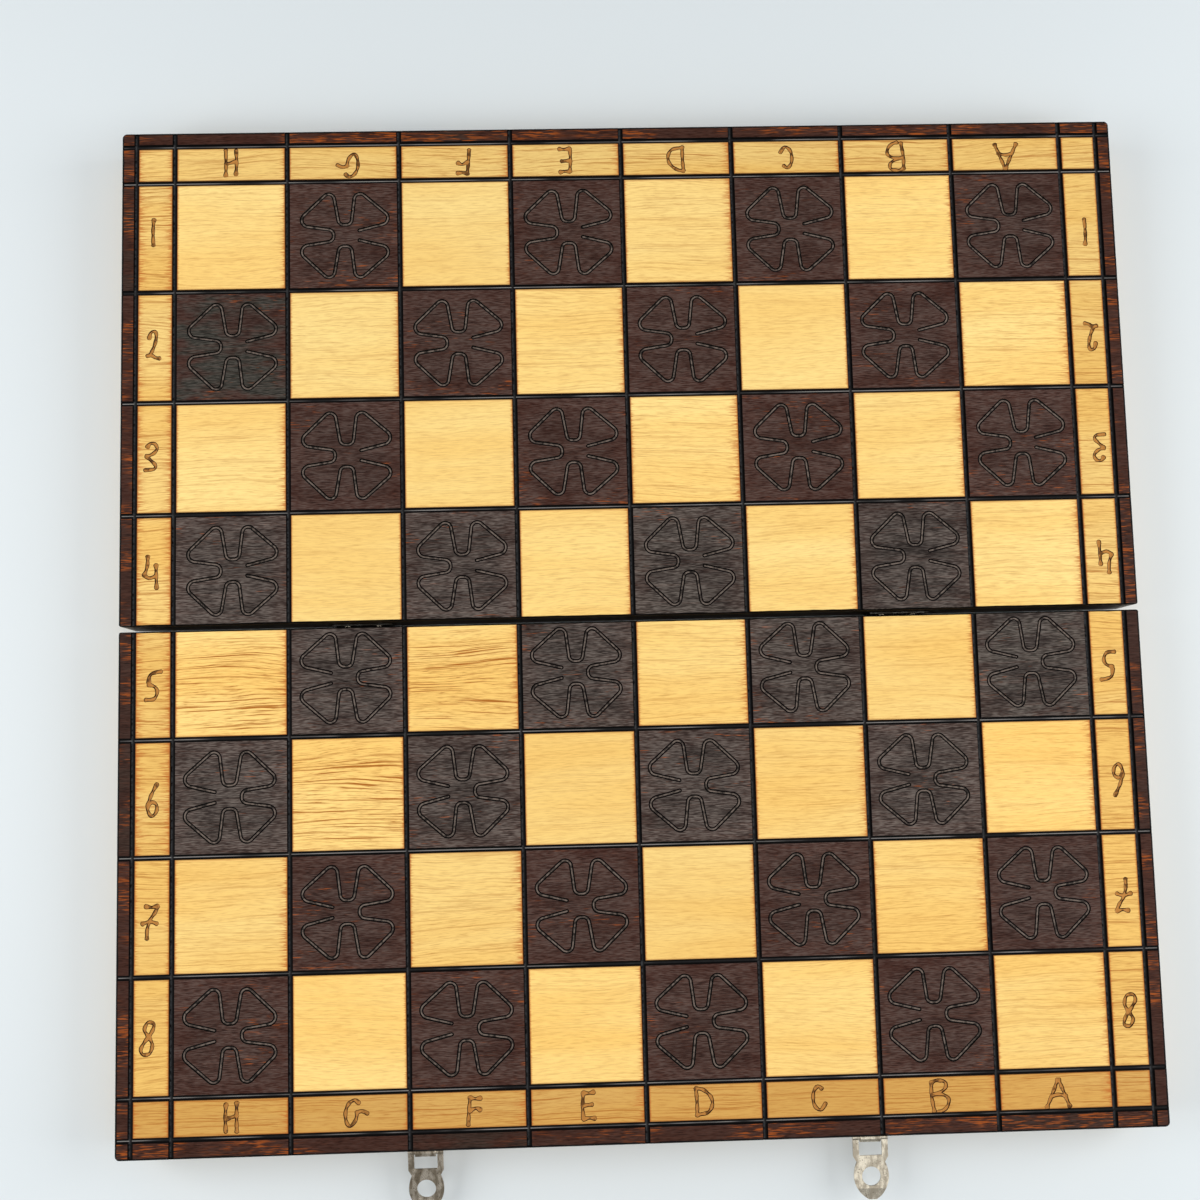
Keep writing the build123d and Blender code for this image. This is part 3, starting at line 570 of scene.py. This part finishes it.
def add_stroke(mesh, points, place, turn):
    """A closed rod with round ends along a stroke, sunk into the playing surface as a cutter."""
    path = smooth_path(points)
    centres = []
    for index, point in enumerate(path):
        ahead = path[min(index + 1, len(path) - 1)] - path[max(index - 1, 0)]
        from_end = min((point - path[0]).length, (point - path[-1]).length)
        swell = DOT_SWELL * math.exp(-(from_end / DOT_REACH_MM) ** 2)
        wobble = WOBBLE * math.sin(0.9 * index + points[0][0] * 3)
        centres.append((point, ahead.normalized(), 1 + swell + wobble))
    half_width_mm = STROKE_HALF_WIDTH / MM
    point, ahead, swollen = centres[0]
    head = [(point - ahead * half_width_mm * out, ahead, swollen * size) for size, out in reversed(ROUND_END)]
    point, ahead, swollen = centres[-1]
    tail = [(point + ahead * half_width_mm * out, ahead, swollen * size) for size, out in ROUND_END]
    rings = []
    depth_radius = STROKE_DEPTH + STROKE_ABOVE
    for point, ahead, size in head + centres + tail:
        sideways = Vector((-ahead.y, ahead.x))
        ring = []
        for corner in range(STROKE_SIDES):
            angle = math.tau * corner / STROKE_SIDES
            offset = sideways * math.cos(angle) * half_width_mm * size
            flat = turn @ (point + offset)
            height = TOP_Z + STROKE_ABOVE + math.sin(angle) * depth_radius * size
            ring.append(mesh.verts.new((place[0] + flat.x * MM, place[1] + flat.y * MM, height)))
        rings.append(ring)
    for ring, following in zip(rings, rings[1:]):
        for corner in range(STROKE_SIDES):
            beside = (corner + 1) % STROKE_SIDES
            mesh.faces.new((ring[corner], ring[beside], following[beside], following[corner]))
    mesh.faces.new(list(reversed(rings[0])))
    mesh.faces.new(rings[-1])


BODY_OF = {node: body for body, nodes in frame["record"]["behaviour"]["bodies"].items() for node in nodes}
WELD_DISTANCE = 0.000001


def add_object(name, mesh):
    """A new object in the scene, at the origin of the frame."""
    piece = bpy.data.objects.new(name, mesh)
    bpy.context.scene.collection.objects.link(piece)
    return piece


def stand_in(node, material):
    """A copy of a node for finer modelling, with this material, which takes the node's place while the node
    is hidden.
    """
    mesh = frame["nodes"][node].data.copy()
    imported_normals = mesh.attributes.get("custom_normal")
    if imported_normals:
        mesh.attributes.remove(imported_normals)
    welded = bmesh.new()
    welded.from_mesh(mesh)
    bmesh.ops.remove_doubles(welded, verts=welded.verts, dist=WELD_DISTANCE)
    welded.to_mesh(mesh)
    welded.free()
    mesh.materials.clear()
    mesh.materials.append(material)
    piece = add_object(f"{node}_finished", mesh)
    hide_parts(node)
    return piece


def apply_modifiers(piece):
    """Keeps the shape that the modifiers give and drops the modifiers."""
    bpy.context.view_layer.update()
    shaped = piece.evaluated_get(bpy.context.evaluated_depsgraph_get())
    mesh = bpy.data.meshes.new_from_object(shaped)
    piece.modifiers.clear()
    piece.data = mesh


def soften(piece, width, sharp_deg=30):
    """Rounds the edges a little, as sanding or plating does."""
    bevel = piece.modifiers.new("edges", "BEVEL")
    bevel.width = width
    bevel.segments = 2
    bevel.limit_method = "ANGLE"
    bevel.angle_limit = math.radians(sharp_deg)
    apply_modifiers(piece)


def smooth_shading(piece, sharp_deg=30):
    """Smooth shading between faces that meet at less than an angle; large faces stay flat."""
    piece.data.shade_smooth()
    piece.data.set_sharp_from_angle(angle=math.radians(sharp_deg))
    normals = piece.modifiers.new("normals", "WEIGHTED_NORMAL")
    normals.weight = 100
    normals.keep_sharp = True


# The characters: letters along the ends and numbers along the sides, each set
# upright for the player who reads it
LETTERS = "HGFEDCBA"
SIDE_STRIP_MM = PLAY_MM + STRIP_MM / 2
UPRIGHT = Matrix.Identity(2)
TURNED = Matrix.Rotation(math.pi, 2)


def character_places(side):
    """Characters of one half as (glyph, place, turn); side is 1 for the rear half, -1 for the front one."""
    fold_mm = (REAR_FOLD_Y if side > 0 else FRONT_FOLD_Y) / MM
    shifts = REAR_SHIFTS if side > 0 else FRONT_SHIFTS
    turn = TURNED if side > 0 else UPRIGHT
    loss = FOLD_ROW_LOSS_MM[side]
    places = []
    for index, letter in enumerate(LETTERS):
        x = (index + 0.5) * SQUARE_MM - PLAY_MM
        y = fold_mm + side * (SIDE_STRIP_MM - loss)
        places.append((letter, (x, y), shifts.get(letter, (0, 0)), turn))
    for row in range(SQUARES // 2):
        y = fold_mm + side * ((row + 0.5) * SQUARE_MM - loss)
        number = str(SQUARES // 2 - row if side > 0 else SQUARES // 2 + 1 + row)
        places.append((number, (-SIDE_STRIP_MM, y), LEFT_SHIFTS[number], UPRIGHT))
        places.append((number, (SIDE_STRIP_MM, y), RIGHT_SHIFTS[number], TURNED))
    return [(glyph, ((x + dx) * MM, (y + dy) * MM), turn) for glyph, (x, y), (dx, dy), turn in places]


# The clover grooves have a low ridge along their floor
CLOVER_FLOOR_Z = TOP_Z - 0.0005
RIDGE_INSET = 0.00066
RIDGE_HEIGHT = 0.00024
FLOOR_TOLERANCE = 0.00002
FACING_UP = 0.9


def on_clover_floor(face):
    """Whether a face is part of the floor of a clover groove."""
    level = all(abs(vert.co.z - CLOVER_FLOOR_Z) < FLOOR_TOLERANCE for vert in face.verts)
    return level and face.normal.z > FACING_UP


def raise_clover_ridges(panel):
    """Raises the middle of each clover groove's floor."""
    mesh = bmesh.new()
    mesh.from_mesh(panel.data)
    floor = [face for face in mesh.faces if on_clover_floor(face)]
    bmesh.ops.inset_region(mesh, faces=floor, thickness=RIDGE_INSET, use_boundary=True, use_even_offset=True)
    for vert in {vert for face in floor for vert in face.verts}:
        vert.co.z += RIDGE_HEIGHT
    mesh.to_mesh(panel.data)
    mesh.free()


def carve_characters(panel, side):
    """Sinks the letters and numbers of one half into its panel."""
    cutter_mesh = bmesh.new()
    for glyph, place, turn in character_places(side):
        for stroke in GLYPH_STROKES[glyph]:
            add_stroke(cutter_mesh, stroke, place, turn)
    bmesh.ops.recalc_face_normals(cutter_mesh, faces=cutter_mesh.faces)
    mesh = bpy.data.meshes.new("stroke_cutter")
    cutter_mesh.to_mesh(mesh)
    cutter_mesh.free()
    cutter = add_object("stroke_cutter", mesh)
    carve = panel.modifiers.new("characters", "BOOLEAN")
    carve.operation = "DIFFERENCE"
    carve.solver = "EXACT"
    carve.use_self = True
    carve.object = cutter
    apply_modifiers(panel)
    bpy.data.objects.remove(cutter)


# Places where the grain is strong, as (x, depth from the fold, reach along x, reach in depth) in mm
FRONT_FIGURED = [(-127, 74, 42, 30), (-75, 24, 34, 26), (-175, 24, 34, 26)]
REAR_FIGURED = [(-130, 176, 30, 20)]

rear_panel_wood = playing_panel_material(
    "rear_panel_wood", 1, REAR_FOLD_Y, honey=0.05, end_shade=0.0, black_reach=50,
    figured_spots=REAR_FIGURED, seed=3.0,
)
front_panel_wood = playing_panel_material(
    "front_panel_wood", -1, FRONT_FOLD_Y, honey=0.35, end_shade=0.48, black_reach=100,
    figured_spots=FRONT_FIGURED, seed=11.0,
)
rear_panel = stand_in("rear_playing_panel", rear_panel_wood)
front_panel = stand_in("front_playing_panel", front_panel_wood)
PANEL_SHARP_DEG = 28
for panel, side in ((rear_panel, 1), (front_panel, -1)):
    raise_clover_ridges(panel)
    carve_characters(panel, side)
    smooth_shading(panel, PANEL_SHARP_DEG)

# Edges of walls and sheet metal are rounded, and the rounding is shaded smooth
SOFTENED_SHARP_DEG = 50
WALL_SOFTENING = 0.0005
# Hearts of the growth rings of a half's walls, by turns, as (sideways, up) from a wall's middle in mm
WALL_HEARTS = {"rear": ((40, -70), (60, 70)), "front": ((-60, 90), (-40, -60))}
for half, hearts in WALL_HEARTS.items():
    for index, wall in enumerate(("hinge_wall", "outer_wall", "left_wall", "right_wall")):
        node = f"{half}_{wall}"
        axis = 0 if index < 2 else 1
        middle = [sum(corners) / 2 / MM for corners in zip(*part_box(node))]
        flat_middle = middle[1] if axis == 0 else middle[0]
        lean, rise = hearts[index % 2]
        heart = (flat_middle + lean, middle[2] + rise)
        fold_face_y = REAR_FOLD_Y if half == "rear" else FRONT_FOLD_Y
        wood = wall_material(f"{node}_wood", axis, heart, fold_face_y, 17.0 * index + 5.0)
        piece = stand_in(node, wood)
        soften(piece, WALL_SOFTENING)
        smooth_shading(piece, SOFTENED_SHARP_DEG)

# Painted shade: the left hasp gets the darker nickel
left_nickel = metal_material("left_hasp_nickel", DIM_NICKEL, DIMMER_NICKEL, 0.45, 2.0)
right_nickel = metal_material("right_hasp_nickel", NICKEL, NICKEL_DULL, 0.15, 8.0)
hinge_metal = metal_material("hinge_metal", STEEL, STEEL_DULL, 0.5, 15.0)
fastener_metal = metal_material("fastener_metal", NICKEL_DULL, DIM_NICKEL, 0.3, 21.0)

SHEET_SOFTENING = 0.00014
SHEET_EDGE_DEG = 40
for side, nickel in (("left", left_nickel), ("right", right_nickel)):
    for piece_name in ("hasp", "hasp_base", "strike_plate", "stud"):
        piece = stand_in(f"{side}_{piece_name}", nickel)
        soften(piece, SHEET_SOFTENING, SHEET_EDGE_DEG)
        smooth_shading(piece, SOFTENED_SHARP_DEG)
    for piece_name in ("hinge_front_leaf", "hinge_rear_leaf", "hinge_pin"):
        piece = stand_in(f"{side}_{piece_name}", hinge_metal)
        smooth_shading(piece)
    for piece_name in ("hasp_screws", "strike_screws", "hinge_front_nails", "hinge_rear_nails"):
        piece = stand_in(f"{side}_{piece_name}", fastener_metal)
        smooth_shading(piece)

for name, piece in list(bpy.data.objects.items()):
    if name.endswith("_finished"):
        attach(piece, BODY_OF[name.removesuffix("_finished")])

# Table, light and camera
TABLE_COLOUR = colour(217, 223, 225)
TABLE_HALF = 3.0
ROOM_COLOUR = colour(236, 240, 244)
ROOM_STRENGTH = 0.50
# Soft lights, each as its place, size and power in watts
LIGHTS = {
    "left_window": ((-0.90, 0.0, 0.62), 0.8, 7.2),
    "right_window": ((0.90, 0.0, 0.62), 0.8, 7.2),
    "ceiling_light": ((0.30, -0.50, 1.20), 0.9, 2.4),
}


def add_table():
    """A plain pale table top under the board."""
    mesh = bpy.data.meshes.new("table")
    corners = [(-TABLE_HALF, -TABLE_HALF, 0), (TABLE_HALF, -TABLE_HALF, 0),
               (TABLE_HALF, TABLE_HALF, 0), (-TABLE_HALF, TABLE_HALF, 0)]
    mesh.from_pydata(corners, [], [(0, 1, 2, 3)])
    table = add_object("table", mesh)
    s = Shader("table")
    mesh.materials.append(s.finish(TABLE_COLOUR, 0.6, Specular_IOR_Level=0.3))


def add_light(name, place, size, power):
    """A square soft light that faces the middle of the board."""
    data = bpy.data.lights.new(name, "AREA")
    data.shape = "SQUARE"
    data.size = size
    data.energy = power
    light = bpy.data.objects.new(name, data)
    light.location = place
    light.rotation_euler = (-Vector(place)).to_track_quat("-Z", "Y").to_euler()
    bpy.context.scene.collection.objects.link(light)


def add_world():
    """Even pale surroundings."""
    world = bpy.data.worlds.new("room")
    world.use_nodes = True
    background = world.node_tree.nodes["Background"]
    background.inputs["Color"].default_value = ROOM_COLOUR
    background.inputs["Strength"].default_value = ROOM_STRENGTH
    bpy.context.scene.world = world


add_table()
for name, (place, size, power) in LIGHTS.items():
    add_light(name, place, size, power)
add_world()
add_camera()
bpy.context.scene.view_settings.view_transform = "Standard"
